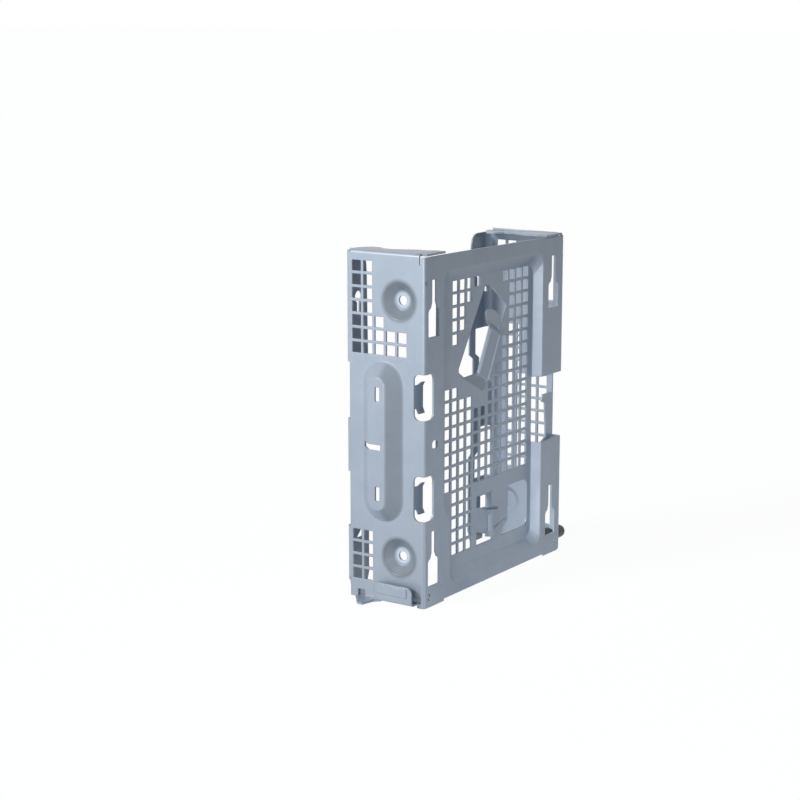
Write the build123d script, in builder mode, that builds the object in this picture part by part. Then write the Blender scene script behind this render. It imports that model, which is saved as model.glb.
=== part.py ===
from build123d import *
from math import cos, hypot, pi, radians, sin
import os

# Hard drive bracket: a cage for one 3.5 inch drive, pressed and folded from one
# sheet of galvanised steel, with one locating stud held in its right wall.
# Units are millimetres. X runs along the front panel, Y goes back, Z is up.
# Heights are measured from the floor that the bracket stands on.

# Sheet and overall form
sheet = 0.8
bend = 1.4
width = 106.2
depth = 37.9
front_height = 138.2
left_height = 139.4
right_height = 138.2
foot_length = 14.0
foot_step = 0.9
corner_round = 3.0

# Perforation
pitch = 5.342
perforation = 4.25
panel_column = 22.14
panel_row = 124.1
left_column = 31.99
left_upper_row = 133.2
left_lower_row = 25.8
right_column = 9.3
right_middle_row = 95.0
right_upper_row = 131.1

# Recessed front panel
recess = 3.85
recess_left = 13.4
recess_right = 88.9
recess_top = 131.8
recess_bottom = 5.8
recess_jog = 4.8
recess_jog_top = 38.9
recess_jog_bottom = 32.2
recess_side_slope = 1.7
recess_end_slope = 3.5
recess_top_slope = 5.4
recess_round = 5.0
rim_round = 1.2
floor_round = 0.9

# Keyhole slots in the front face, each a narrow neck over a wide body
key_left = 6.5
key_right = 97.5
key_upper_bottom = 107.3
key_lower_bottom = 8.4
key_body_width = 8.0
key_body_height = 10.0
key_neck_width = 3.0
key_shoulder = 4.8
key_height = 22.0

# Small holes in the front face
oval_x = 7.5
oval_z = 64.9
oval_length = 4.7
oval_height = 3.4
pip_radius = 0.65
pip_spacing = 1.6
pip_lean = 0.7
pip_left = 3.4
pip_right = 100.9
pip_height = 4.1
dent_height = 128.4
dent_radius = 0.8
dent_inset = 1.3
dent_depth = 0.4

# Windows across the left bend, each with a tab turned inward
window_bottoms = (34.9, 75.0)
window_height = 18.1
window_front = 6.4
window_side = 5.15
window_round = 2.4
tab_reach = 7.2
tab_root_low = 4.3
tab_root_high = 13.4
tab_hook = 1.4
tab_neck = 4.0
tab_foot = 1.8

# Notch in the right edge with its own tab
notch_bottom = 50.6
notch_top = 78.9
notch_left = 85.8
notch_side = 4.4
notch_round = 2.4
notch_tab_reach = 9.8
notch_tab_top = 69.3
notch_tab_nose = 66.6
notch_tab_bottom = 47.6
notch_tab_waist = 5.4
notch_tab_round = 1.2

# Lips turned inward along the back
lip_width = 15.2
lip_waist = 11.6
lip_waist_bottom = 40.0
lip_waist_top = 84.0
lip_slant = 3.0
lip_top = 136.4
lip_round = 5.0
lip_windows = ((27.9, 51.6), (72.0, 95.6))
lip_strip = 4.2
lip_window_round = 2.4
lip_edge_back = 2.1
lip_slot_radius = 1.7
lip_slot_height = 111.8
lip_key_x = 8.2
lip_key_height = 118.7
lip_key_length = 8.0
ear_hole_x = 5.2
ear_hole_height = 130.1
lip_low_x = 2.5
low_gap_bottom = 12.9
low_gap_top = 19.9
low_gap_width = 3.6
lip_foot_gap = 1.6
lip_foot_taper = 5.2

# Flanges turned inward along the top
flange_nose = 14.5
flange_nose_end = 4.2
flange_width = 12.4
flange_start = 8.4
flange_shoulder = 12.0
flange_waist = 8.4
flange_waist_start = 20.6
flange_waist_end = 24.8
flange_back = 10.8
flange_back_start = 28.0
flange_back_end = 32.0
flange_tail = 4.3
flange_end = 36.6
flange_gap = 1.9
relief_width = 0.8
relief_depth = 4.2

# Pressed seats for the drive's side screws
seat_y = 12.0
seat_low = 19.2
seat_spacing = 101.6
seat_depth = 2.8
seat_outer = 7.65
seat_flat = 4.1
screw_radius = 1.9

# Long boss pressed outward in the left wall
boss_y = 19.27
boss_low = 32.7
boss_high = 96.7
boss_width = 18.9
boss_height = 5.2
boss_inset = 5.65
boss_slot_width = 2.1
boss_slot_length = 5.6
boss_slot_low = 44.9
boss_slot_high = 84.5
boss_cross_length = 10.2
boss_cross_width = 2.3
boss_cross_y = 22.4
boss_cross_z = 63.4
boss_rim_round = 1.5
boss_top_round = 1.2

# Hook at the foot of the left wall, and the lead-in lip behind it
hook_front = 3.5
hook_back = 21.1
hook_reach = 3.9
hook_top = 8.7
hook_round = 2.6
hook_pad_front = 5.8
hook_pad_back = 20.1
hook_pad_low = 4.4
hook_pad_high = 8.2
hook_pad_proud = 0.3
hook_gap_front = 1.8
hook_gap_back = 5.6
lead_reach = 8.6
lead_shoulder = 2.7
lead_shoulder_y = 22.4
lead_nose_front = 25.3
lead_nose_back = 27.8
lead_tail = 5.9
lead_back = 31.6
lead_hole_y = 29.6
lead_hole_width = 3.4
lead_hole_bottom = 1.9
lead_hole_top = 4.4
hook_gap_height = 6.5

# Diamond opening and the raised tongue across it
diamond_left = (29.4, 89.6)
diamond_top = (49.8, 122.4)
diamond_shoulder = (53.7, 121.3)
diamond_right = (66.3, 112.3)
diamond_inner = (61.0, 103.4)
diamond_low = (46.0, 79.0)
diamond_round = 1.5
tongue_root = (42.2, 81.4)
tongue_lean = 27.2
tongue_width = 9.6
tongue_length = 24.5
tongue_neck = 2.0
tongue_head = 6.0
tongue_rise = 3.0
tongue_seat = 1.5
tongue_ramp = 4.6
tongue_rail = 0.8

# Lower window in the front panel and the plate left standing in it
cut_left = 44.2
cut_right = 84.3
cut_bottom = 13.9
cut_top = 35.6
cut_round = 5.0
plate_right = 69.0
plate_neck = 57.0
plate_low = 18.1
plate_high = 28.2
plate_round = 1.5
slit_start = (56.2, 19.6)
slit_end = (67.3, 22.8)
slit_width = 1.1
vent_points = ((62.4, 15.0), (67.6, 15.0), (65.6, 18.4))
rib_x = 54.7
rib_radius = 1.7
rib_collar = 2.9
rib_collar_height = 2.0
rib_collar_proud = 1.1

# Right wall details
side_slot_front = 4.6
side_slot_width = 4.6
side_slot_lower = (10.4, 32.0)
side_slot_upper = (108.9, 129.0)
pad_y = 27.0
pad_z = 18.1
pad_radius = 6.8
pad_flat = 4.4
pad_depth = 1.6

# Locating stud
stud_y = 5.4
stud_z = 5.2
stud_radius = 2.8
stud_reach = 11.2
stud_head_radius = 3.6
stud_head = 1.2
stud_collar = 1.0
stud_dome = 2.8
stud_clearance = 0.12

# Reference planes: each has its local x along the wall and its local y up
span = lead_reach + width + stud_reach
left_x = -span / 2 + lead_reach
right_x = left_x + width
front_y = -depth / 2
back_y = depth / 2
mid_x = left_x + width / 2
front = Plane(origin=(left_x, front_y, 0), x_dir=(1, 0, 0), z_dir=(0, -1, 0))
back = Plane(origin=(left_x, back_y, 0), x_dir=(1, 0, 0), z_dir=(0, -1, 0))
left = Plane(origin=(left_x, front_y, 0), x_dir=(0, 1, 0), z_dir=(1, 0, 0))
right = Plane(origin=(right_x, front_y, 0), x_dir=(0, 1, 0), z_dir=(1, 0, 0))
ground = Plane(origin=(left_x, front_y, 0), x_dir=(1, 0, 0), z_dir=(0, 0, 1))

# Depth of a cut that clears one wall from outside it
clear = 2 * bend
wall_cut = clear + sheet + bend


def slant(rise, inset):
    """Sideways shift that keeps a sloping side one sheet thick."""
    return sheet * hypot(rise, inset) / rise


def outline(plane, points, radius):
    """A closed outline, as a sketch on the plane; a radius of nothing leaves it sharp."""
    with BuildSketch(plane) as shape:
        with BuildLine():
            if radius:
                FilletPolyline(*points, radius=radius, close=True)
            else:
                Polyline(*points, close=True)
        make_face()
    return shape.sketch


def window(plane, low, high, radius):
    """A rounded rectangle between two opposite corners, as a sketch on the plane."""
    with BuildSketch(plane) as shape:
        with Locations(((low[0] + high[0]) / 2, (low[1] + high[1]) / 2)):
            Rectangle(high[0] - low[0], high[1] - low[1])
        if radius > 0:
            fillet(shape.vertices(), radius)
    return shape.sketch


def lattice(plane, column, row, columns, way):
    """Square holes on the pitch; columns maps a column number to its runs of rows."""
    centres = []
    for number, runs in columns.items():
        for first, last in runs:
            for step in range(first, last + 1):
                centres.append((column + way * number * pitch, row - step * pitch))
    with BuildSketch(plane) as shape:
        with Locations(*centres):
            Rectangle(perforation, perforation)
    return shape.sketch


def pan(level, skins):
    """Outline of the pressed panel at a depth behind the front face."""
    share = level / recess
    side = recess_side_slope * share - skins * slant(recess, recess_side_slope)
    top = recess_top_slope * share - skins * slant(recess, recess_top_slope)
    end = recess_end_slope * share - skins * slant(recess, recess_end_slope)
    left_edge = recess_left + side
    jog_edge = left_edge + recess_jog
    right_edge = recess_right - side
    corners = [
        (left_edge, recess_top - top),
        (right_edge, recess_top - top),
        (right_edge, recess_bottom + end),
        (jog_edge, recess_bottom + end),
        (jog_edge, recess_jog_bottom),
        (left_edge, recess_jog_top),
    ]
    return outline(front.offset(-level), corners, recess_round)


def keyhole(x, bottom):
    """Wide body with sloping shoulders under a narrow neck."""
    body = key_body_width / 2
    neck = key_neck_width / 2
    shoulder = bottom + key_body_height
    corners = [
        (x - body, bottom),
        (x + body, bottom),
        (x + body, shoulder),
        (x + neck, shoulder + key_shoulder),
        (x + neck, bottom + key_height),
        (x - neck, bottom + key_height),
        (x - neck, shoulder + key_shoulder),
        (x - body, shoulder),
    ]
    return outline(front.offset(clear), corners, 0)


def pressing(plane, foot, crown, rise, hole):
    """Half section of a round pressing raised from a wall along the plane's normal."""
    side = slant(rise, foot - crown)
    lean = (foot - crown) / rise
    with BuildSketch(plane) as shape:
        with BuildLine():
            Polyline(
                (hole, rise),
                (crown, rise),
                (foot, 0),
                (foot, -sheet),
                (foot - side + lean * sheet, -sheet),
                (crown - side + lean * sheet, rise - sheet),
                (hole, rise - sheet),
                close=True,
            )
        make_face()
    return shape.sketch


def racetrack(plane, length, breadth):
    """Upright slot with round ends, as a sketch on the plane."""
    with BuildSketch(plane) as shape:
        with Locations((boss_y, (boss_low + boss_high) / 2)):
            SlotOverall(length, breadth, rotation=90)
    return shape.sketch


def boss_level(rise, skins):
    """Outline of the long boss at a height outside the left wall."""
    draw_in = boss_inset * rise / boss_height + skins * slant(boss_height, boss_inset)
    length = boss_high - boss_low - 2 * draw_in
    return racetrack(left.offset(-rise), length, boss_width - 2 * draw_in)


def across(mirrored, reach, other):
    """A point measured inward from the left wall, or from the right wall when mirrored."""
    return (width - reach if mirrored else reach, other)


def lip(mirrored):
    """Corners of one back lip, with its waist and its cut-away foot."""
    return [
        across(mirrored, -clear, lip_foot_taper),
        across(mirrored, 0, lip_foot_taper),
        across(mirrored, lip_width - lip_foot_taper, lip_foot_gap),
        across(mirrored, lip_width, lip_foot_gap + lip_foot_taper),
        across(mirrored, lip_width, lip_waist_bottom - lip_slant),
        across(mirrored, lip_waist, lip_waist_bottom),
        across(mirrored, lip_waist, lip_waist_top),
        across(mirrored, lip_width, lip_waist_top + lip_slant),
        across(mirrored, lip_width, lip_top),
        across(mirrored, -clear, lip_top),
    ]


def flange(mirrored, top):
    """Plan of one top flange, from the wall to its shaped free edge."""
    edge = [
        across(mirrored, 0, flange_gap + relief_width),
        across(mirrored, flange_nose, flange_gap + relief_width),
        across(mirrored, flange_nose, flange_nose_end),
        across(mirrored, flange_width, flange_start),
        across(mirrored, flange_width, flange_shoulder),
        across(mirrored, flange_waist, flange_waist_start),
        across(mirrored, flange_waist, flange_waist_end),
        across(mirrored, flange_back, flange_back_start),
        across(mirrored, flange_back, flange_back_end),
        across(mirrored, flange_tail, flange_end),
        across(mirrored, 0, flange_end),
    ]
    return outline(ground.offset(top), edge, 0)


def fold_sliver(x, side, top):
    """Sliver outside the round fold between a side wall and its top flange."""
    with BuildSketch(front.offset(clear)) as shape:
        with Locations((x + side * bend / 2, top - bend / 2)):
            Rectangle(bend, bend)
        with Locations((x + side * bend, top - bend)):
            Circle(bend, mode=Mode.SUBTRACT)
    return shape.sketch


def corner_sliver(x, z, side, lift, radius):
    """Sliver outside one rounded corner of the front face."""
    with BuildSketch(front.offset(clear)) as shape:
        with Locations((x + side * radius / 2, z + lift * radius / 2)):
            Rectangle(radius, radius)
        with Locations((x + side * radius, z + lift * radius)):
            Circle(radius, mode=Mode.SUBTRACT)
    return shape.sketch


# Frame of the raised tongue: its root on the panel, x across it and y along it
lean = radians(tongue_lean)
tongue = Plane(
    origin=front.from_local_coords((tongue_root[0], tongue_root[1], -recess)),
    x_dir=(cos(lean), 0, -sin(lean)),
    z_dir=(0, -1, 0),
)
tongue_side = Plane(origin=tongue.origin, x_dir=tongue.y_dir, z_dir=tongue.x_dir)

# Folded sheet
with BuildPart() as drive_bracket:
    # Front face, both side walls and the back lips in one folded section
    with BuildSketch(Plane.XY):
        with Locations((mid_x, 0)):
            RectangleRounded(width, depth, bend)
            RectangleRounded(width - 2 * sheet, depth - 2 * sheet, bend - sheet, mode=Mode.SUBTRACT)
    extrude(amount=left_height)

    # Heights of the front face and of the right wall
    extrude(window(front.offset(clear), (-clear, front_height), (width + clear, left_height + clear), 0),
            amount=-(clear + flange_gap), mode=Mode.SUBTRACT)
    extrude(window(front.offset(clear), (width / 2, right_height), (width + clear, left_height + clear), 0),
            amount=-(depth + 2 * clear), mode=Mode.SUBTRACT)

    # Back face trimmed to the two lips
    with BuildSketch(back.offset(-clear)):
        with Locations((width / 2, left_height / 2)):
            Rectangle(width + 2 * clear, left_height + 2 * clear)
        for mirrored in (False, True):
            with BuildLine():
                FilletPolyline(*lip(mirrored), radius=[0] * 8 + [lip_round, 0], close=True)
            make_face(mode=Mode.SUBTRACT)
    extrude(amount=clear + lip_edge_back, mode=Mode.SUBTRACT)

    # Windows, slots and holes of the lips
    with BuildSketch(back.offset(-clear)):
        for mirrored in (False, True):
            reach = lip_waist - lip_strip
            for low, high in lip_windows:
                with Locations(across(mirrored, (reach - clear) / 2, (low + high) / 2)):
                    Rectangle(reach + clear, high - low)
            with Locations(across(mirrored, lip_low_x, (low_gap_bottom + low_gap_top) / 2)):
                SlotOverall(low_gap_top - low_gap_bottom, low_gap_width, rotation=90)
            with Locations(across(mirrored, ear_hole_x, ear_hole_height)):
                Circle(lip_slot_radius)
            with Locations(across(mirrored, lip_key_x, lip_key_height)):
                SlotOverall(lip_key_length, 2 * lip_slot_radius, rotation=90)
    extrude(amount=clear + lip_edge_back, mode=Mode.SUBTRACT)

    # Front panel pressed inward: the back of the pressing first, then its hollow
    loft([pan(0, 1), pan(recess + sheet, 1)], ruled=True)
    loft([pan(-sheet, 0), pan(recess, 0)], ruled=True, mode=Mode.SUBTRACT)

    # Long boss pressed outward in the left wall
    loft([boss_level(0, 0), boss_level(boss_height, 0)], ruled=True)
    loft([boss_level(-sheet, 1), boss_level(boss_height - sheet, 1)], ruled=True, mode=Mode.SUBTRACT)

    # Round-ended seats for the drive's side screws, pressed inward
    for seat_z in (seat_low, seat_low + seat_spacing):
        with BuildSketch(left):
            with Locations((seat_y, seat_z)):
                Circle(seat_outer)
        extrude(amount=clear, both=True, mode=Mode.SUBTRACT)
        seat = Plane(origin=left.from_local_coords((seat_y, seat_z, sheet)), x_dir=(0, 1, 0), z_dir=(0, 0, -1))
        revolve(pressing(seat, seat_outer, seat_flat, seat_depth, screw_radius),
                axis=Axis(seat.origin, (1, 0, 0)))

    # Flanges turned inward along the top, with a relief slit ahead of each
    for mirrored, top in ((False, left_height), (True, right_height)):
        extrude(flange(mirrored, top), amount=-sheet)
        base = width if mirrored else 0
        side = -1 if mirrored else 1
        extrude(fold_sliver(base, side, top), amount=-(depth + 2 * clear), mode=Mode.SUBTRACT)
        with BuildSketch(ground.offset(top + clear)):
            with Locations((base, flange_gap + relief_width / 2)):
                Rectangle(2 * clear, relief_width)
        extrude(amount=-(clear + relief_depth), mode=Mode.SUBTRACT)

    # Keyhole slots and small holes of the front face
    for key_x in (key_left, key_right):
        for key_bottom in (key_lower_bottom, key_upper_bottom):
            extrude(keyhole(key_x, key_bottom), amount=-wall_cut, mode=Mode.SUBTRACT)
    with BuildSketch(front.offset(clear)):
        with Locations((oval_x, oval_z)):
            SlotOverall(oval_length, oval_height)
        for pip_x in (pip_left, pip_right):
            with Locations((pip_x - pip_lean / 2, pip_height - pip_spacing / 2),
                           (pip_x + pip_lean / 2, pip_height + pip_spacing / 2)):
                RegularPolygon(pip_radius, 6)
    extrude(amount=-(clear + sheet + bend), mode=Mode.SUBTRACT)

    # Raised lower edge between the two feet, and rounded corners of the front face
    extrude(window(front.offset(clear), (foot_length, -clear), (width - foot_length, foot_step), 0),
            amount=-(clear + sheet), mode=Mode.SUBTRACT)
    for z, lift, height in ((0, 1, corner_round), (front_height, -1, corner_round)):
        extrude(corner_sliver(width, z, -1, lift, height), amount=-(clear + bend), mode=Mode.SUBTRACT)

    # Windows across the left fold, each with a hooked tab turned inward
    for bottom in window_bottoms:
        top = bottom + window_height
        extrude(window(front.offset(clear), (-clear, bottom), (window_front, top), window_round),
                amount=-(clear + bend), mode=Mode.SUBTRACT)
        extrude(window(left.offset(-clear), (-clear, bottom), (window_side, top), window_round),
                amount=clear + bend, mode=Mode.SUBTRACT)
        tab = [
            (sheet / 2, bottom + tab_root_low),
            (tab_neck - tab_hook, bottom + tab_root_low),
            (tab_neck, bottom + tab_foot),
            (tab_reach + tab_hook / 2, bottom + tab_foot),
            (tab_reach - tab_hook / 2, bottom + tab_root_low),
            (tab_reach - tab_hook / 2, bottom + tab_root_high - tab_hook / 2),
            (tab_reach + tab_hook / 2, bottom + tab_root_high + tab_hook / 2),
            (tab_reach - tab_hook, bottom + tab_root_high + tab_hook / 2),
            (tab_neck, bottom + tab_root_high),
            (sheet / 2, bottom + tab_root_high),
        ]
        extrude(outline(front.offset(-window_side), tab, 0), amount=-sheet)

    # Notch in the right edge, with a tab turned inward from the right wall
    extrude(window(front.offset(clear), (notch_left, notch_bottom), (width + notch_round + clear, notch_top),
                   notch_round), amount=-(clear + notch_side), mode=Mode.SUBTRACT)
    notch_tab = [
        (width - sheet / 2, notch_bottom),
        (width - sheet / 2, notch_tab_top),
        (width - notch_tab_reach + notch_tab_round, notch_tab_top),
        (width - notch_tab_reach, notch_tab_nose),
        (width - notch_tab_waist - notch_tab_round, notch_tab_nose - notch_tab_round),
        (width - notch_tab_waist, notch_bottom),
        (width - notch_tab_reach - notch_tab_round, notch_tab_bottom),
        (width - notch_tab_waist, notch_tab_bottom - notch_tab_round),
    ]
    extrude(outline(front.offset(-notch_side), notch_tab, 0), amount=-sheet)

    # Diamond opening of the front panel, with a raised tongue reaching across it
    diamond = [diamond_left, diamond_top, diamond_shoulder, diamond_right, diamond_inner, diamond_low]
    extrude(outline(front.offset(-recess / 2), diamond, diamond_round),
            amount=-(recess + sheet), mode=Mode.SUBTRACT)
    strip = [
        (-tongue_seat, -sheet),
        (-tongue_seat, 0),
        (0, 0),
        (tongue_ramp, tongue_rise),
        (tongue_length, tongue_rise),
        (tongue_length, tongue_rise - sheet),
        (tongue_ramp + sheet / 2, tongue_rise - sheet),
        (sheet / 2, -sheet),
    ]
    with BuildSketch(tongue_side):
        with BuildLine():
            Polyline(*strip, close=True)
        make_face()
    extrude(amount=tongue_width / 2, both=True)
    with BuildSketch(tongue.offset(tongue_rise)):
        with Locations((0, tongue_length + tongue_neck)):
            Circle(tongue_head)
    extrude(amount=-sheet)
    with BuildSketch(tongue.offset(tongue_rise)):
        rail_centre = (tongue_ramp + tongue_length) / 2
        rail_offset = (tongue_width - sheet) / 2
        with Locations((-rail_offset, rail_centre), (rail_offset, rail_centre)):
            Rectangle(sheet, tongue_length - tongue_ramp)
    extrude(amount=tongue_rail)

    # Lower window of the front panel, cut around the plate that stands in it
    upper_left = (cut_left, plate_high), (plate_neck, cut_top)
    lower_left = (cut_left, cut_bottom), (plate_neck, plate_low)
    right_side = (plate_right, cut_bottom), (cut_right, cut_top)
    for low, high in (upper_left, lower_left):
        extrude(window(front.offset(-recess / 2), low, high, plate_round),
                amount=-(recess + sheet), mode=Mode.SUBTRACT)
    extrude(window(front.offset(-recess / 2), *right_side, cut_round),
            amount=-(recess + sheet), mode=Mode.SUBTRACT)
    with BuildSketch(front.offset(-recess / 2)):
        with BuildLine():
            slit = Line(slit_start, slit_end)
            offset(slit, amount=slit_width / 2)
        make_face()
        with BuildLine():
            Polyline(*vent_points, close=True)
        make_face()
    extrude(amount=-(recess + sheet), mode=Mode.SUBTRACT)

    # Upright stiffening rib beside the plate, with a collar at each end
    rib_low = front.from_local_coords((rib_x, plate_low, -recess))
    with BuildSketch(Plane(origin=rib_low, x_dir=(1, 0, 0), z_dir=(0, 0, 1))):
        Circle(rib_radius)
    extrude(amount=plate_high - plate_low)
    for collar_z in (plate_low, plate_high - rib_collar_height):
        collar = front.from_local_coords((rib_x, collar_z, -recess))
        with BuildSketch(Plane(origin=collar, x_dir=(1, 0, 0), z_dir=(0, 0, 1))):
            Circle(rib_collar)
            with Locations((0, rib_collar)):
                Rectangle(2 * rib_collar, 2 * rib_collar, mode=Mode.SUBTRACT)
        extrude(amount=rib_collar_height)

    # Slots and shallow round pad of the right wall, and the hole for the stud
    slot_back = side_slot_front + side_slot_width
    for low, high in (side_slot_lower, side_slot_upper):
        extrude(window(right.offset(clear), (side_slot_front, low), (slot_back, high), 0),
                amount=-wall_cut, mode=Mode.SUBTRACT)
    with BuildSketch(right):
        with Locations((pad_y, pad_z)):
            Circle(pad_radius)
    extrude(amount=-sheet, mode=Mode.SUBTRACT)
    pad = Plane(origin=right.from_local_coords((pad_y, pad_z, 0)), x_dir=(0, 1, 0), z_dir=(0, 0, -1))
    revolve(pressing(pad, pad_radius, pad_flat, pad_depth, 0), axis=Axis(pad.origin, (1, 0, 0)))
    with BuildSketch(right.offset(clear)):
        with Locations((stud_y, stud_z)):
            Circle(stud_radius + stud_clearance)
    extrude(amount=-wall_cut, mode=Mode.SUBTRACT)

    # Foot of the left wall: relief gap, then the hook turned out and up
    extrude(window(left.offset(-clear), (hook_gap_front, -clear), (hook_gap_back, hook_gap_height), 0),
            amount=clear + sheet, mode=Mode.SUBTRACT)
    hook_profile = [
        (sheet, 0),
        (sheet, sheet),
        (-hook_reach + sheet, sheet),
        (-hook_reach + sheet, hook_top),
        (-hook_reach, hook_top),
        (-hook_reach, 0),
    ]
    with BuildSketch(front.offset(-hook_front)):
        with BuildLine():
            FilletPolyline(*hook_profile, radius=[0, 0, bend - sheet, 0, 0, bend], close=True)
        make_face()
    extrude(amount=-(hook_back - hook_front))
    with BuildSketch(left.offset(-hook_reach - clear)):
        with Locations((hook_front + hook_round / 2, hook_top - hook_round / 2)):
            Rectangle(hook_round, hook_round)
        with Locations((hook_front + hook_round, hook_top - hook_round)):
            Circle(hook_round, mode=Mode.SUBTRACT)
    extrude(amount=clear + sheet, mode=Mode.SUBTRACT)
    extrude(window(left.offset(-hook_reach), (hook_pad_front, hook_pad_low),
                   (hook_pad_back, hook_pad_high), hook_round / 2), amount=-hook_pad_proud)

    # Lead-in lip turned outward at floor level behind the hook
    lead = [
        (sheet, hook_back - sheet),
        (-sheet, hook_back - sheet),
        (-lead_shoulder, lead_shoulder_y),
        (-lead_reach, lead_nose_front),
        (-lead_reach, lead_nose_back),
        (-lead_tail, lead_back),
        (sheet, lead_hole_y),
    ]
    extrude(outline(ground, lead, 0), amount=sheet)
    with BuildSketch(left.offset(-clear)):
        with Locations((lead_hole_y, (lead_hole_bottom + lead_hole_top) / 2)):
            Rectangle(lead_hole_width, lead_hole_top - lead_hole_bottom)
    extrude(amount=clear + sheet, mode=Mode.SUBTRACT)

    # Shallow dents beside the folds, level with the upper seats
    with BuildSketch(front):
        with Locations((dent_inset, dent_height), (width - dent_inset, dent_height)):
            RegularPolygon(dent_radius, 6)
    extrude(amount=-dent_depth, mode=Mode.SUBTRACT)

    # Perforation of the front panel and of both side walls
    panel_holes = {
        0: [(8, 15)],
        1: [(0, 4), (8, 20)],
        2: [(0, 3), (9, 20)],
        3: [(0, 1), (9, 20)],
        4: [(0, 0), (10, 15)],
        5: [(10, 15)],
        6: [(8, 15)],
        7: [(7, 15)],
        8: [(0, 0), (5, 15)],
        9: [(0, 15)],
        10: [(0, 15)],
        11: [(0, 15)],
    }
    extrude(lattice(front.offset(-recess / 2), panel_column, panel_row, panel_holes, 1),
            amount=-(recess + sheet), mode=Mode.SUBTRACT)
    left_upper_holes = {0: [(0, 6)], 1: [(0, 6)], 2: [(4, 6)], 3: [(5, 6)], 4: [(5, 6)]}
    left_lower_holes = {0: [(0, 3)], 1: [(0, 3)]}
    extrude(lattice(left.offset(-clear), left_column, left_upper_row, left_upper_holes, -1),
            amount=wall_cut, mode=Mode.SUBTRACT)
    extrude(lattice(left.offset(-clear), left_column, left_lower_row, left_lower_holes, -1),
            amount=wall_cut, mode=Mode.SUBTRACT)
    right_middle_holes = {0: [(0, 11)], 1: [(0, 11)], 2: [(0, 11)], 3: [(0, 11)]}
    right_upper_holes = {3: [(0, 4)], 4: [(0, 4)]}
    extrude(lattice(right.offset(clear), right_column, right_middle_row, right_middle_holes, 1),
            amount=-wall_cut, mode=Mode.SUBTRACT)
    extrude(lattice(right.offset(clear), right_column, right_upper_row, right_upper_holes, 1),
            amount=-wall_cut, mode=Mode.SUBTRACT)

# Locating stud, clenched between a head inside the right wall and a collar outside it
stud_base = right.from_local_coords((stud_y, stud_z, 0))
stud_half = Plane(origin=stud_base, x_dir=(1, 0, 0), z_dir=(0, 1, 0))
with BuildPart() as locating_stud:
    with BuildSketch(stud_half):
        with BuildLine():
            section = Polyline(
                (-sheet - stud_head, 0),
                (-sheet - stud_head, stud_head_radius),
                (-sheet, stud_head_radius),
                (-sheet, stud_radius),
                (0, stud_radius),
                (0, stud_head_radius),
                (stud_collar, stud_head_radius),
                (stud_collar, stud_radius),
                (stud_reach - stud_dome, stud_radius),
            )
            ThreePointArc(
                section @ 1,
                (stud_reach - stud_dome * (1 - sin(pi / 4)), stud_radius * cos(pi / 4)),
                (stud_reach, 0),
            )
            Line((stud_reach, 0), (-sheet - stud_head, 0))
        make_face()
    revolve(axis=Axis(stud_base, (1, 0, 0)))

drive_bracket.part.label = "drive_bracket"
locating_stud.part.label = "locating_stud"
os.makedirs("parts", exist_ok=True)
export_step(drive_bracket.part, "parts/drive_bracket.step")
export_step(locating_stud.part, "parts/locating_stud.step")
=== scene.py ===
from math import cos, radians, sin

import bmesh
import bpy
from mathutils import Matrix, Vector


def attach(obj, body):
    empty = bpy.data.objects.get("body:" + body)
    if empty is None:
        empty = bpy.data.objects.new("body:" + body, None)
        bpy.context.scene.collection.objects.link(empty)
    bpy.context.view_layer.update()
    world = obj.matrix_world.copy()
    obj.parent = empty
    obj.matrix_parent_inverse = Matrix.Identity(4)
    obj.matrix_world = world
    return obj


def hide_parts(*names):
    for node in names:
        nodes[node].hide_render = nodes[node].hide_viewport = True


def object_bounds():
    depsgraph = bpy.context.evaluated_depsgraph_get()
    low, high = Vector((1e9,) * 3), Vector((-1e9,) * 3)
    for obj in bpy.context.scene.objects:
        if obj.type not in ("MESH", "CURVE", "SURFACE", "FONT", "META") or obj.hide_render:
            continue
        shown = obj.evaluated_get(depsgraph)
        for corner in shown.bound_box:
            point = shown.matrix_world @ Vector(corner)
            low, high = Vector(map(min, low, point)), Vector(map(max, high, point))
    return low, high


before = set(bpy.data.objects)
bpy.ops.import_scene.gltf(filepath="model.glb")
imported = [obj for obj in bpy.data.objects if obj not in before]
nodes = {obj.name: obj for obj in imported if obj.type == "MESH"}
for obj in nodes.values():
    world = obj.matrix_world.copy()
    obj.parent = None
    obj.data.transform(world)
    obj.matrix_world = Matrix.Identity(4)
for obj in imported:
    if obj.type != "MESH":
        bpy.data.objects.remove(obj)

cad_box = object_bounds()
low, high = cad_box

# Sheet sizes in millimetres, measured from the left wall, the front face and the floor
mm = 0.001
sheet = 0.8
width = 106.2
depth = 37.9
left_height = 139.4
right_height = 138.2
right_drop = 1.0
front_height = 138.2
front_drop_start = 17.7
front_drop_end = 137.2
above_all = 142.0
recess = 3.85
pitch = 5.342
perforation = 4.25
lead_reach = 8.6
tongue_root = (41.4, 81.8)
tongue_lean = radians(27.2)
corner = Vector((low.x + lead_reach * mm, low.y, low.z))


# Small helpers for node materials
def new_material(name):
    """An empty node material with its output."""
    material = bpy.data.materials.new(name)
    material.use_nodes = True
    tree = material.node_tree
    tree.nodes.clear()
    return material, tree, tree.nodes.new("ShaderNodeOutputMaterial")


def add_node(tree, kind, **inputs):
    """A node of the given kind with its named inputs set."""
    node = tree.nodes.new(kind)
    for name, value in inputs.items():
        node.inputs[name.replace("_", " ")].default_value = value
    return node


def ramp(tree, source, dark, light, ends):
    """A grey value turned into a blend of two colours."""
    node = tree.nodes.new("ShaderNodeValToRGB")
    for element, position, colour in zip(node.color_ramp.elements, ends, (dark, light)):
        element.position = position
        element.color = (*colour, 1)
    tree.links.new(source, node.inputs["Fac"])
    return node.outputs["Color"]


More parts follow.
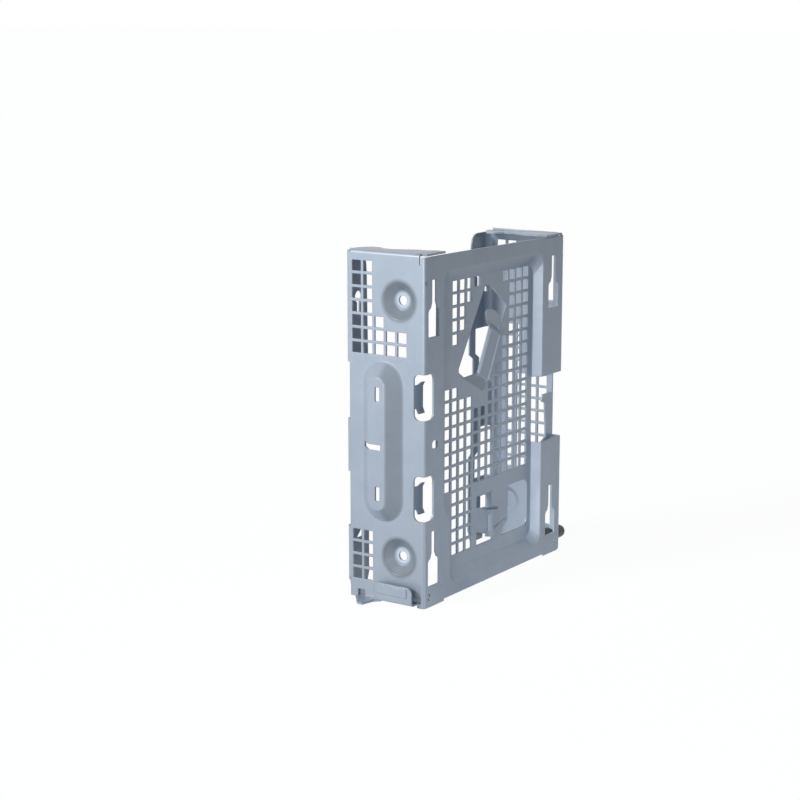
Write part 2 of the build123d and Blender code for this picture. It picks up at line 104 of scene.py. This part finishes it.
def seen_by(tree, *rays):
    """One for any of the named rays."""
    path = tree.nodes.new("ShaderNodeLightPath")
    seen = path.outputs[rays[0]]
    for ray in rays[1:]:
        either = tree.nodes.new("ShaderNodeMath")
        either.operation = "MAXIMUM"
        tree.links.new(seen, either.inputs[0])
        tree.links.new(path.outputs[ray], either.inputs[1])
        seen = either.outputs["Value"]
    return seen


def mix_shaders(tree, first, second):
    """A mix of two shaders, whose share is still to be set."""
    node = tree.nodes.new("ShaderNodeMixShader")
    tree.links.new(first, node.inputs[1])
    tree.links.new(second, node.inputs[2])
    return node


# Galvanised steel: cool grey with a faint spangle and soft pressed edges
steel_light = (0.50, 0.57, 0.66)
steel_dark = (0.44, 0.51, 0.60)
steel_rough = 0.34
steel_metal = 0.16
blend_ends = (0.35, 0.85)
spangle_size = 260
spangle_share = 0.25
cloud_size = 45
cloud_detail = 4.0
cloud_rough = 0.6
edge_round = 0.0005
edge_samples = 6
bump_strength = 0.06
bump_height = 0.0004

# Painted light on the pressings, in bands of start, end and softness: painted shade in the seats and at the
# tongue's ramp, painted highlights round the seat holes, on the panel's right slope and along the tongue's
# rails
seat_painted_shade = 0.55
hole_rim_painted_highlight = 1.30
slope_painted_highlight = 1.30
rail_painted_highlight = 1.45
ramp_painted_shadow = 0.62
seat_back = 12.0
seat_heights = (19.2, 120.8)
seat_band = (3.6, 8.2, 0.7)
hole_band = (1.8, 3.0, 0.3)
seat_wall = 4.4
slope_across = (86.6, 89.4, 0.4)
slope_up = (10.0, 128.0, 4.0)
panel_back = 4.95
rail_across = (3.3, 4.4, 0.1)
rail_along = (3.0, 23.8, 0.5)
rail_back = 1.75
ramp_across = (-10.8, 6.8, 0.3)
ramp_along = (-0.8, 4.2, 0.5)
ramp_back = 3.65

# Tones that hold the photo's light rather than a finish: shades of 1 take them away
boss_shade = 0.74
lip_shade = 0.66
hollow_shade = 0.50
front_shades = (1.24, 0.75)
wall_shades = (0.83, 1.08)
boss_back = 19.27
boss_middle = 64.7
boss_straight = 22.55
boss_band = (4.2, 9.0, 0.4)
boss_front = (8.95, 18.15, 1.2)
boss_wall = 1.4
lip_across = (3.8, 102.4, 0.6)
lip_depth = (34.95, 37.55, 0.1)
hollow_across = (0.8, 4.4, 0.05)
hollow_depth = (1.35, 33.95, 0.1)
hollow_top = 7.3
wall_face = 0.4


class Tones:
    """Arithmetic in a node tree for tones that change from place to place."""

    def __init__(self, tree):
        self.tree = tree

    def math(self, operation, first, second=0.0):
        """A math node fed by two outputs or numbers."""
        node = self.tree.nodes.new("ShaderNodeMath")
        node.operation = operation
        for socket, source in zip(node.inputs, (first, second)):
            if isinstance(source, (int, float)):
                socket.default_value = source
            else:
                self.tree.links.new(source, socket)
        return node.outputs["Value"]

    def product(self, first, *factors):
        """Factors multiplied together."""
        for factor in factors:
            first = self.math("MULTIPLY", first, factor)
        return first

    def minus(self, first, second):
        """One value less another."""
        return self.math("SUBTRACT", first, second)

    def below(self, value, limit):
        """One below a limit and nothing above it."""
        return self.math("LESS_THAN", value, limit)

    def distance(self, across, up):
        """Length of a step across and a step up."""
        squares = self.math("ADD", self.product(across, across), self.product(up, up))
        return self.math("SQRT", squares)

    def stretch(self, value, start, end, first=0.0, last=1.0):
        """A value between two lengths, carried evenly from one number to another."""
        node = self.tree.nodes.new("ShaderNodeMapRange")
        for name, number in zip(("From Min", "From Max", "To Min", "To Max"), (start, end, first, last)):
            node.inputs[name].default_value = number
        self.tree.links.new(value, node.inputs["Value"])
        return node.outputs["Result"]

    def band(self, value, start, end, soft):
        """One between two lengths and nothing outside them, with soft ends."""
        rise = self.stretch(value, start - soft, start + soft)
        fall = self.stretch(value, end + soft, end - soft)
        return self.product(rise, fall)

    def shade(self, mask, factor):
        """A factor where the mask is one, and one elsewhere."""
        return self.math("ADD", self.product(mask, self.minus(factor, 1.0)), 1.0)


def painted_light_on_sheet(tree, place):
    """Painted light and shade on the sheet at each place, as one factor."""
    tones = Tones(tree)
    shifted = tree.nodes.new("ShaderNodeVectorMath")
    shifted.operation = "SUBTRACT"
    shifted.inputs[1].default_value = corner
    scaled = tree.nodes.new("ShaderNodeVectorMath")
    scaled.operation = "SCALE"
    scaled.inputs["Scale"].default_value = 1 / mm
    parts = tree.nodes.new("ShaderNodeSeparateXYZ")
    tree.links.new(place, shifted.inputs[0])
    tree.links.new(shifted.outputs["Vector"], scaled.inputs[0])
    tree.links.new(scaled.outputs["Vector"], parts.inputs["Vector"])
    x, y, z = (parts.outputs[axis] for axis in "XYZ")

    seat_masks, hole_masks = [], []
    for height in seat_heights:
        away = tones.distance(tones.minus(y, seat_back), tones.minus(z, height))
        seat_masks.append(tones.band(away, *seat_band))
        hole_masks.append(tones.band(away, *hole_band))
    by_seats = tones.below(x, seat_wall)
    seats = tones.product(tones.math("ADD", *seat_masks), by_seats)
    holes = tones.product(tones.math("ADD", *hole_masks), by_seats)
    on_front = tones.below(y, panel_back)
    slope = tones.product(tones.band(x, *slope_across), tones.band(z, *slope_up), on_front)

    beside = tones.minus(x, tongue_root[0])
    above = tones.minus(z, tongue_root[1])
    lean_sin, lean_cos = sin(tongue_lean), cos(tongue_lean)
    along = tones.math("ADD", tones.product(beside, lean_sin), tones.product(above, lean_cos))
    aside = tones.minus(tones.product(beside, lean_cos), tones.product(above, lean_sin))
    rails = tones.product(tones.band(tones.math("ABSOLUTE", aside), *rail_across),
                          tones.band(along, *rail_along), tones.below(y, rail_back))
    tongue_foot = tones.product(tones.band(along, *ramp_along), tones.band(aside, *ramp_across),
                                tones.below(y, ramp_back))

    past_straight = tones.minus(tones.math("ABSOLUTE", tones.minus(z, boss_middle)), boss_straight)
    from_boss = tones.distance(tones.minus(y, boss_back), tones.math("MAXIMUM", past_straight))
    boss = tones.product(tones.band(from_boss, *boss_band), tones.band(y, *boss_front),
                         tones.below(x, boss_wall))
    lips = tones.product(tones.band(y, *lip_depth), tones.band(x, *lip_across))
    hollows = tones.product(tones.band(x, *hollow_across), tones.below(z, hollow_top),
                            tones.band(y, *hollow_depth))
    left_wall = tones.below(x, wall_face)
    front_face = tones.product(on_front, tones.math("GREATER_THAN", x, wall_face))
    top = high.z / mm
    # Every factor here is painted light or painted shade laid on the steel's colour
    return tones.product(
        tones.shade(seats, seat_painted_shade),
        tones.shade(holes, hole_rim_painted_highlight),
        tones.shade(slope, slope_painted_highlight),
        tones.shade(rails, rail_painted_highlight),
        tones.shade(tongue_foot, ramp_painted_shadow),
        tones.shade(boss, boss_shade),
        tones.shade(lips, lip_shade),
        tones.shade(hollows, hollow_shade),
        tones.shade(front_face, tones.stretch(z, 0.0, top, *front_shades)),
        tones.shade(left_wall, tones.stretch(z, 0.0, top, *wall_shades)),
    )


def steel_material():
    """Galvanised steel on the whole sheet."""
    material, tree, output = new_material("galvanised_steel")
    link = tree.links.new
    place = tree.nodes.new("ShaderNodeTexCoord").outputs["Object"]
    cloud = add_node(tree, "ShaderNodeTexNoise", Scale=cloud_size, Detail=cloud_detail,
                     Roughness=cloud_rough)
    spangle = add_node(tree, "ShaderNodeTexVoronoi", Scale=spangle_size)
    link(place, cloud.inputs["Vector"])
    link(place, spangle.inputs["Vector"])
    mix = tree.nodes.new("ShaderNodeMath")
    mix.operation = "MULTIPLY_ADD"
    link(spangle.outputs["Color"], mix.inputs[0])
    mix.inputs[1].default_value = spangle_share
    link(cloud.outputs["Fac"], mix.inputs[2])
    toned = tree.nodes.new("ShaderNodeVectorMath")
    toned.operation = "SCALE"
    link(ramp(tree, mix.outputs["Value"], steel_dark, steel_light, blend_ends), toned.inputs[0])
    # The steel's colour is scaled by painted light and shade that depends on the place on the sheet
    link(painted_light_on_sheet(tree, place), toned.inputs["Scale"])
    shader = add_node(tree, "ShaderNodeBsdfPrincipled", Metallic=steel_metal, Roughness=steel_rough)
    link(toned.outputs["Vector"], shader.inputs["Base Color"])
    edges = add_node(tree, "ShaderNodeBevel", Radius=edge_round)
    edges.samples = edge_samples
    bump = add_node(tree, "ShaderNodeBump", Strength=bump_strength, Distance=bump_height)
    link(cloud.outputs["Fac"], bump.inputs["Height"])
    link(edges.outputs["Normal"], bump.inputs["Normal"])
    link(bump.outputs["Normal"], shader.inputs["Normal"])
    link(shader.outputs["BSDF"], output.inputs["Surface"])
    return material


# Steel stud, coloured dark as painted shade for the shadow it stands in
stud_shade_colour = (0.055, 0.065, 0.075, 1)
stud_rough = 0.38
stud_metal = 0.6


def stud_material():
    """A dark colour on the steel stud, painted shade for the shadow it stands in."""
    material, tree, output = new_material("dark_stud")
    shader = add_node(tree, "ShaderNodeBsdfPrincipled", Metallic=stud_metal, Roughness=stud_rough)
    shader.inputs["Base Color"].default_value = stud_shade_colour
    tree.links.new(shader.outputs["BSDF"], output.inputs["Surface"])
    return material


finishes = {"drive_bracket": steel_material(), "locating_stud": stud_material()}
for name, material in finishes.items():
    for place in nodes[name].material_slots:
        place.material = material


# Finer forms of the pressed sheet, which stands for the plainer bracket node
def front(across, up, back):
    """A point placed on the front face, with its depth behind that face."""
    return (across, back, up)


def side(back, up, across):
    """A point placed on a side wall, with its distance from the left wall."""
    return (across, back, up)


def level(across, back, up):
    """A point placed in plan, with its height above the floor."""
    return (across, back, up)


def tongue(across, along, rise):
    """A point on the tongue, which leans across the diamond opening."""
    return (
        tongue_root[0] + across * cos(tongue_lean) + along * sin(tongue_lean),
        recess - rise,
        tongue_root[1] - across * sin(tongue_lean) + along * cos(tongue_lean),
    )


class Solids:
    """Closed solids gathered in one mesh."""

    def __init__(self, name):
        self.name = name
        self.mesh = bmesh.new()

    def loft(self, place, *rings):
        """A closed solid through rings of as many points each."""
        add = self.mesh.verts.new
        rows = [[add(corner + mm * Vector(place(*point))) for point in ring] for ring in rings]
        for near, far in zip(rows, rows[1:]):
            for i in range(len(near)):
                j = (i + 1) % len(near)
                self.mesh.faces.new((near[i], near[j], far[j], far[i]))
        self.mesh.faces.new(rows[0])
        self.mesh.faces.new(rows[-1])

    def prism(self, place, outline, start, end):
        """An outline carried straight from one distance to another."""
        self.loft(place, *[[(*point, distance) for point in outline] for distance in (start, end)])

    def block(self, place, least, most, start, end):
        """A box between two opposite corners of its outline."""
        self.prism(place, [least, (most[0], least[1]), most, (least[0], most[1])], start, end)

    def object(self):
        """The solids as an object of the scene."""
        bmesh.ops.recalc_face_normals(self.mesh, faces=self.mesh.faces)
        data = bpy.data.meshes.new(self.name)
        self.mesh.to_mesh(data)
        self.mesh.free()
        made = bpy.data.objects.new(self.name, data)
        bpy.context.scene.collection.objects.link(made)
        return made


def arc(centre, radius, first, last, steps=6):
    """Points on a round from one angle to another, in degrees."""
    turns = [radians(first + (last - first) * step / steps) for step in range(steps + 1)]
    return [(centre[0] + radius * cos(turn), centre[1] + radius * sin(turn)) for turn in turns]


def whole_round(centre, radius, count):
    """Points evenly spaced on a full round."""
    return arc(centre, radius, 0, 360 - 360 / count, count - 1)


def slot(start, end, breadth):
    """Outline of a straight slot with square ends."""
    start, end = Vector(start), Vector(end)
    run = end - start
    out = Vector((-run.y, run.x)).normalized() * breadth / 2
    return [tuple(start - out), tuple(end - out), tuple(end + out), tuple(start + out)]


old_forms = Solids("old_forms")
new_sheet = Solids("new_sheet")
openings = Solids("openings")
bead = Solids("bead")

# Slots through the long boss of the left wall
boss_cut = (-7.0, 2.0)
boss_slot_start, boss_slot_end = 17.7, 19.8
boss_slot_half = 2.8
boss_slot_heights = (44.9, 84.5)
cross_slot = ((17.3, 62.25), (27.5, 64.55))
for slot_z in boss_slot_heights:
    openings.block(side, (boss_slot_start, slot_z - boss_slot_half),
                   (boss_slot_end, slot_z + boss_slot_half), *boss_cut)
openings.block(side, *cross_slot, *boss_cut)

# Tongue: a wide ramp, a strip with a rail on each side, and an oval end bent back down
tongue_room = ((-9.0, -2.5), (9.0, 36.0))
tongue_room_height = 6.0
tongue_foot_start, tongue_foot_end = -10.2, 6.6
tongue_half = 4.3
tongue_rise = 3.0
tongue_ramp = 4.7
tongue_length = 24.4
oval_bend = 27.0
oval_centre = 29.6
oval_rise = 0.6
oval_half_width, oval_half_length = 6.0, 3.1
oval_overlap = 0.01
oval_points = 24
rail_offset = 3.75
rail_radius = 0.55
rail_end = 23.6
rail_points = 8


def tongue_section(start, end, along, rise):
    """The sheet's section straight across the tongue."""
    under = rise - sheet
    return [(start, along, under), (end, along, under), (end, along, rise), (start, along, rise)]


old_forms.block(tongue, *tongue_room, 0.0, tongue_room_height)
tongue_stations = (
    (tongue_ramp, tongue_rise), (tongue_length, tongue_rise),
    (oval_bend, oval_rise), (oval_centre, oval_rise),
)
new_sheet.loft(
    tongue,
    tongue_section(tongue_foot_start, tongue_foot_end, 0.0, 0.0),
    *[tongue_section(-tongue_half, tongue_half, along, rise) for along, rise in tongue_stations],
)
unit_round = whole_round((0, 0), 1, oval_points)
oval = [(oval_half_width * x, oval_centre + oval_half_length * y) for x, y in unit_round]
new_sheet.prism(tongue, oval, oval_rise - sheet - oval_overlap, oval_rise + oval_overlap)
for rail in (-rail_offset, rail_offset):
    round_rail = whole_round((rail, tongue_rise), rail_radius, rail_points)
    new_sheet.loft(tongue, *[[(x, along, z) for x, z in round_rail] for along in (tongue_ramp, rail_end)])

# Lower window of the panel, with the plate, its slit and its flared bead
plate = ((43.2, 13.2), (85.4, 36.4))
plate_cut = (0.3, 8.0)
window_round = 3.4
window_outlines = (
    [(44.1, 30.9), (56.4, 28.5), (56.4, 35.6), (44.1, 35.6)],
    [(44.1, 15.0), (56.4, 15.0), (56.4, 16.9), (44.1, 20.7)],
    [(68.4, 35.6), *arc((80.9, 32.2), window_round, 90, 0), *arc((80.9, 18.4), window_round, 0, -90),
     (63.0, 15.0), (64.3, 18.2), (68.4, 21.0)],
)
plate_slit = slot((56.9, 19.4), (67.2, 22.4), 1.0)
bead_x = 54.7
bead_neck = 1.75
bead_flare = 3.7
bead_steps = 10
bead_stations = ((17.4, bead_flare), (19.7, bead_neck), (26.5, bead_neck), (28.8, bead_flare))
old_forms.block(front, *plate, *plate_cut)
new_sheet.block(front, *plate, recess, recess + sheet)
for outline in (*window_outlines, plate_slit):
    openings.prism(front, outline, *plate_cut)
bead_centre = (bead_x, recess + sheet / 2)
bead_rings = []
for height, radius in bead_stations:
    bowed = arc(bead_centre, radius, 180, 360, bead_steps)
    bowed += arc(bead_centre, radius - sheet, 360, 180, bead_steps)
    bead_rings.append([(x, y, height) for x, y in bowed])
bead.loft(level, *bead_rings)

# Keyhole shoulders, each half outline measured from the keyhole's foot
keyhole_columns = (6.5, 97.5)
keyhole_rows = (8.4, 107.3)
keyhole_cut = (-1.0, 1.4)
shoulder_half = 4.2
shoulder_low, shoulder_high = 9.8, 15.2
keyhole_half = [(4.0, 9.7), (4.0, 9.8), (3.3, 10.8), (2.4, 11.2), (1.5, 13.4), (1.5, 21.9)]
for key_x in keyhole_columns:
    for key_z in keyhole_rows:
        new_sheet.block(front, (key_x - shoulder_half, key_z + shoulder_low),
                        (key_x + shoulder_half, key_z + shoulder_high), 0.0, sheet)
        outline = [(key_x + x, key_z + z) for x, z in keyhole_half]
        outline += [(key_x - x, key_z + z) for x, z in reversed(keyhole_half)]
        openings.prism(front, outline, *keyhole_cut)

# Right wall: rows of holes that stop short, and a narrow half column beside them
wall_in = width - sheet
closed_low = ((7.0, 76.7), (22.7, 97.3))
closed_high = ((23.0, 107.4), (33.2, 122.8))
half_column_start, half_column_end = 20.2, 22.2
half_column_top = 95.0
half_column_rows = 4
wall_clear = 1.0
for closed in (closed_low, closed_high):
    new_sheet.block(side, *closed, wall_in, width)
for row in range(half_column_rows):
    hole_z = half_column_top - row * pitch
    openings.block(side, (half_column_start, hole_z - perforation / 2),
                   (half_column_end, hole_z + perforation / 2), wall_in - wall_clear, width + wall_clear)

# Back folds and lips, and top flanges, drawn for the left side
bend = 3.2
lip = 15.2
fold_back = depth - bend
old_back_top = 141.0
lip_cut = (depth - 2.5, depth + 1.0)
beyond_lip = 20.0
lip_edge = [
    (beyond_lip, -1.0), (13.1, -1.0), (13.1, 0.0), (15.2, 5.7), (15.2, 38.5), (12.1, 40.5), (12.1, 82.1),
    (15.2, 84.1), (14.2, 128.9), *arc((9.0, 131.4), 5.0, 0, 90), (3.2, 136.4), (3.2, above_all),
    (beyond_lip, above_all),
]
lip_foot = [(-1.0, -1.0), (4.1, -1.0), (3.2, 4.7), (0.0, 8.0), (-1.0, 8.0)]
lip_window_low = [(-1.0, 28.4), (10.8, 28.4), (10.8, 38.5), (7.7, 40.5), (7.7, 50.9), (-1.0, 50.9)]
lip_window_high = [(-1.0, 72.0), (7.7, 72.0), (7.7, 82.1), (10.8, 84.1), (10.8, 95.0), (-1.0, 95.0)]
lip_keyhole = [(9.6, 113.5), *arc((8.6, 119.5), 2.4, -65.4, 245.4, 16), (7.6, 113.5)]
lip_vent = [(1.9, 110.4), (3.7, 110.4), (3.7, 112.7), (1.9, 112.7)]
left_vent = [(6.6, 21.7), (10.9, 21.7), (10.9, 26.1)]
right_vent = [(1.4, 13.7), (5.8, 13.7), (5.8, 19.5), (1.4, 19.5)]
flange_start = 1.4
flange_reach = 17.0
flange_room = 1.2
flange_plan = [
    (flange_start, 2.7), (1.6, 2.7), (1.6, 0.2), (14.5, 0.2), (14.5, 4.2), (12.4, 8.4), (12.4, 12.0),
    (8.4, 20.6), (8.4, 24.8), (10.8, 28.0), (10.8, 32.0), (4.3, 36.6), (1.9, 36.6), (flange_start, 36.1),
]


def back_and_top(mirrored):
    """The fold, lip and flange of the left side, or of the right side when mirrored."""
    top = right_height if mirrored else left_height
    drop = right_drop if mirrored else 0.0

    def over(points):
        """Points measured from the left wall, or from the right wall when mirrored."""
        return [(width - x if mirrored else x, y) for x, y in points]

    def under_top(points, skin):
        """Points a skin's thickness under this side's sloping top."""
        return [(x, y, top - skin - drop * y / depth) for x, y in points]

    old_back = [(-1, fold_back), (lip + 1, fold_back), (lip + 1, depth + 1), (-1, depth + 1)]
    old_forms.prism(level, over(old_back), -1.0, old_back_top)
    outside = arc((bend, fold_back), bend, 180, 90) + [(lip, depth), (lip, depth - sheet)]
    section = over(outside + arc((bend, fold_back), bend - sheet, 90, 180))
    new_sheet.loft(level, [(x, y, 0.0) for x, y in section], under_top(section, sheet))
    own_vent = right_vent if mirrored else left_vent
    for outline in (lip_edge, lip_foot, lip_window_low, lip_window_high, lip_keyhole, lip_vent, own_vent):
        openings.prism(front, over(outline), *lip_cut)
    old_flange = [(flange_start, -1), (flange_reach, -1),
                  (flange_reach, fold_back), (flange_start, fold_back)]
    old_forms.prism(level, over(old_flange), top - flange_room, above_all)
    new_sheet.loft(level, *[under_top(over(flange_plan), skin) for skin in (sheet, 0.0)])


for mirrored in (False, True):
    back_and_top(mirrored)

# Sloping top of the front face
beyond_wall = width + 2
sloping_top = [(front_drop_start, front_height), (beyond_wall, front_drop_end), (beyond_wall, above_all),
               (front_drop_start, above_all)]
sloping_cut = (-1.0, 1.9)
old_forms.prism(front, sloping_top, *sloping_cut)

# Foot of the left wall, cleared and closed before its finer hook and lip
old_gap = ((1.7, -1.0), (5.8, 6.6), -0.5, 1.0)
old_hook = ((-5.0, -1.0), (0.0, 9.0), 3.2, 21.3)
old_lead = ((-10.0, -1.0), (0.0, 1.2), 21.3, 33.0)
closed_gap = ((1.6, 0.0), (5.9, 6.7), 0.0, sheet)
closed_foot = ((27.4, 0.0), (32.2, 4.9), 0.0, sheet)
old_forms.block(side, *old_gap)
old_forms.block(front, *old_hook)
old_forms.block(front, *old_lead)
new_sheet.block(side, *closed_gap)
new_sheet.block(side, *closed_foot)

# Hook turned out and up, with its rounded corner, its raised pad and the slit under it
hook_bend = (-2.5, 2.6)
hook_run = (3.5, 21.1)
hook_section = [(0.5, 1.2), (0.5, 2.0), *arc(hook_bend, 0.6, 270, 180), (-3.1, 8.7), (-3.9, 8.7),
                *arc(hook_bend, 1.4, 180, 270)]
hook_corner = [(3.0, 9.2), (3.0, 6.1), *arc((6.1, 6.1), 2.6, 180, 90), (6.1, 9.2)]
hook_corner_cut = (-5.0, -2.9)
hook_slit = ((3.5, -1.0), (20.3, 1.2), -0.4, 1.0)
pad_round = 0.65
pad_start, pad_end = 6.45, 19.45
pad_low, pad_high = 5.05, 7.55
pad_sheet = (-4.3, -3.8)
hook_pad = [
    *arc((pad_start, pad_high), pad_round, 90, 180), *arc((pad_start, pad_low), pad_round, 180, 270),
    *arc((pad_end, pad_low), pad_round, 270, 360), *arc((pad_end, pad_high), pad_round, 0, 90),
]
new_sheet.prism(front, hook_section, *hook_run)
openings.prism(side, hook_corner, *hook_corner_cut)
new_sheet.prism(side, hook_pad, *pad_sheet)
openings.block(side, *hook_slit)

# Gaps at the hook and at the lead-in lip, and a guessed sheet behind each that stands for the shade seen
# through the gap and is darkened with painted shade
hook_gap = ((1.9, 2.0), (5.6, 4.6), -1.0, 1.0)
lead_gap = ((28.4, 0.8), (31.8, 3.2), -1.0, 0.85)
behind_hook = [(0.1, 7.0), (0.7, 7.0), (3.6, 1.0), (3.0, 1.0)]
behind_hook_run = (1.9, 8.0)
behind_lead = [(0.4, 5.4), (0.4, 4.6), (1.0, 3.9), (1.0, 0.0), (1.6, 0.0), (1.6, 4.2), (1.1, 5.4)]
behind_lead_run = (26.9, 33.0)
openings.block(side, *hook_gap)
openings.block(side, *lead_gap)
new_sheet.prism(front, behind_hook, *behind_hook_run)
new_sheet.prism(front, behind_lead, *behind_lead_run)

# Lead-in lip turned outward at floor level
lead_plan = [(0.5, 20.3), (-0.8, 20.3), (-2.7, 22.4), (-8.6, 23.8), (-8.6, 26.3), (-1.6, 32.0), (0.5, 32.0)]
new_sheet.prism(level, lead_plan, 0.0, sheet)

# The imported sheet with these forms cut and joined, then shaded flat where it is flat
weld = 1e-6
flat_angle = radians(0.2)
smooth_angle = radians(28)
flat_weight = 80


def welded(mesh):
    """A mesh as a welded bmesh."""
    build = bmesh.new()
    build.from_mesh(mesh)
    bmesh.ops.remove_doubles(build, verts=build.verts, dist=weld)
    return build


build = welded(nodes["drive_bracket"].data)
data = bpy.data.meshes.new("pressed_sheet")
build.to_mesh(data)
build.free()
pressed = bpy.data.objects.new("pressed_sheet", data)
bpy.context.scene.collection.objects.link(pressed)
tools = [
    (old_forms.object(), "DIFFERENCE"),
    (new_sheet.object(), "UNION"),
    (openings.object(), "DIFFERENCE"),
    (bead.object(), "UNION"),
]
for tool, operation in tools:
    step = pressed.modifiers.new(tool.name, "BOOLEAN")
    step.operation = operation
    step.solver = "EXACT"
    step.use_self = True
    step.object = tool
bpy.context.view_layer.update()
shaped = pressed.evaluated_get(bpy.context.evaluated_depsgraph_get())
build = welded(shaped.data)
pressed.modifiers.clear()
bmesh.ops.dissolve_limit(build, angle_limit=flat_angle, verts=build.verts, edges=build.edges)
build.verts.index_update()
data = bpy.data.meshes.new("pressed_sheet")
data.from_pydata([v.co for v in build.verts], [], [[v.index for v in f.verts] for f in build.faces])
build.free()
pressed.data = data
for tool, _ in tools:
    bpy.data.objects.remove(tool)
pressed.data.shade_smooth()
pressed.data.set_sharp_from_angle(angle=smooth_angle)
weights = pressed.modifiers.new("flat_faces", "WEIGHTED_NORMAL")
weights.keep_sharp = True
weights.weight = flat_weight
pressed.data.materials.clear()
pressed.data.materials.append(finishes["drive_bracket"])
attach(pressed, "root")
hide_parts("drive_bracket")

# Pale floor: white to the camera apart from a faint shadow, plain pale for the light
floor_size = 60.0
floor_colour = (0.74, 0.82, 0.93, 1)
floor_glow = 1.09
floor_share = 0.12
bpy.ops.mesh.primitive_plane_add(size=floor_size, location=(0, 0, low.z))
floor = bpy.context.object
floor.name = "floor"
material, tree, output = new_material("floor")
paper = add_node(tree, "ShaderNodeBsdfDiffuse", Color=floor_colour).outputs["BSDF"]
glow = add_node(tree, "ShaderNodeEmission", Strength=floor_glow).outputs["Emission"]
shown = mix_shaders(tree, glow, paper)
shown.inputs["Fac"].default_value = floor_share
chosen = mix_shaders(tree, paper, shown.outputs["Shader"])
tree.links.new(seen_by(tree, "Is Camera Ray", "Is Glossy Ray"), chosen.inputs["Fac"])
tree.links.new(chosen.outputs["Shader"], output.inputs["Surface"])
floor.data.materials.append(material)

# World: white where it is seen, plain soft pale blue where it lights
ambient = 0.12
ambient_colour = (0.80, 0.90, 1.0, 1)
white = (1, 1, 1, 1)
white_strength = 1.0
world = bpy.data.worlds.new("studio")
bpy.context.scene.world = world
world.use_nodes = True
tree = world.node_tree
tree.nodes.clear()
output = tree.nodes.new("ShaderNodeOutputWorld")
light = add_node(tree, "ShaderNodeBackground", Color=ambient_colour, Strength=ambient)
blank = add_node(tree, "ShaderNodeBackground", Color=white, Strength=white_strength)
chosen = mix_shaders(tree, light.outputs["Background"], blank.outputs["Background"])
seen = seen_by(tree, "Is Camera Ray", "Is Glossy Ray", "Is Transmission Ray")
tree.links.new(seen, chosen.inputs["Fac"])
tree.links.new(chosen.outputs["Shader"], output.inputs["Surface"])

# Key light from behind on the left, and one soft lamp low on the left
key_power = 1.55
key_angle = 0.35
key_way = (0.80, -0.38, -0.42)
soft_power = 3.6
soft_size = 0.4
soft_place = (-0.95, -0.26, 0.06)
soft_target = (0, 0, 0.07)


def add_lamp(name, kind, power, way, place=(0, 0, 0)):
    """A lamp at a place, shining along its way."""
    data = bpy.data.lights.new(name, kind)
    data.energy = power
    lamp = bpy.data.objects.new(name, data)
    bpy.context.scene.collection.objects.link(lamp)
    lamp.location = place
    lamp.rotation_euler = Vector(way).to_track_quat("-Z", "Y").to_euler()
    return data


add_lamp("key", "SUN", key_power, key_way).angle = key_angle
soft_way = Vector(soft_target) - Vector(soft_place)
add_lamp("left_softbox", "AREA", soft_power, soft_way, soft_place).size = soft_size

# Camera recovered from the perforation, which is a square lattice in three planes
camera_place = Vector((-0.6523, -0.41625, 0.2277))
camera_right = Vector((0.5631, -0.8264, 0.0))
camera_up = Vector((0.1626, 0.1108, 0.9805))
camera_back = camera_right.cross(camera_up)
sensor = 36.0
frame_pixels = 800
focal_pixels = 1913.9
centre_column = 403.0
nearest = 0.01
data = bpy.data.cameras.new("camera")
data.sensor_width = sensor
data.lens = focal_pixels * sensor / frame_pixels
data.shift_x = (frame_pixels / 2 - centre_column) / frame_pixels
data.clip_start = nearest
camera = bpy.data.objects.new("camera", data)
bpy.context.scene.collection.objects.link(camera)
turn = Matrix((camera_right, camera_up, camera_back)).transposed()
camera.matrix_world = Matrix.Translation(camera_place) @ turn.to_4x4()
bpy.context.scene.camera = camera
bpy.context.scene.view_settings.view_transform = "Standard"
